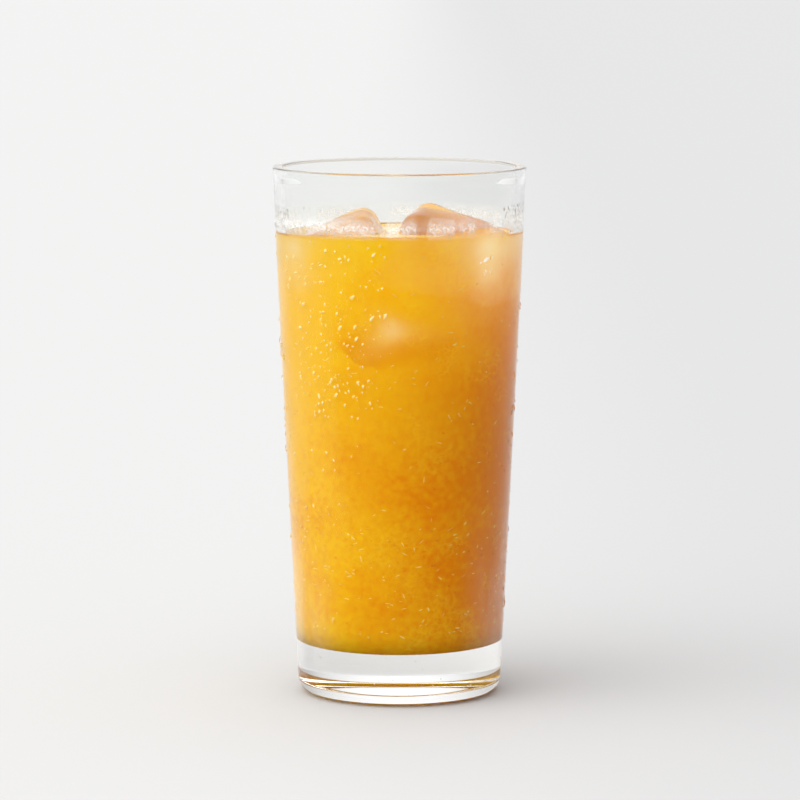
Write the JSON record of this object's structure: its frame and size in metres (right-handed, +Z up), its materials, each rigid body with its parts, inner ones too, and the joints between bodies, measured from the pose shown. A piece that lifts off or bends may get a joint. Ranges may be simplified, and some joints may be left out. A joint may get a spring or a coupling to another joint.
{
  "type": "glass of orange juice",
  "caption": "Tall tapered clear tumbler with a thick base, filled almost to the brim with pulpy orange juice, melting ice blocks floating at the top.",
  "frame": {"origin": "middle of the underside, on the plane the tumbler stands on", "axes": "+Z up along the tumbler's axis of revolution, +X to the right and -Y towards the viewer with one ice block on each side"},
  "size_m": [0.072, 0.072, 0.151],
  "materials": {
    "clear_glass": "clear polished soda-lime glass, fire-polished rim, beaded with condensation outside",
    "orange_juice": null,
    "clear_ice": "melting clear ice, wet and rounded, with a cloudy core; glass stands in for ice"
  },
  "bodies": {
    "root": {"tumbler": "clear_glass", "juice": "orange_juice", "ice_left": "clear_ice", "ice_right": "clear_ice"}
  },
  "joints": []
}
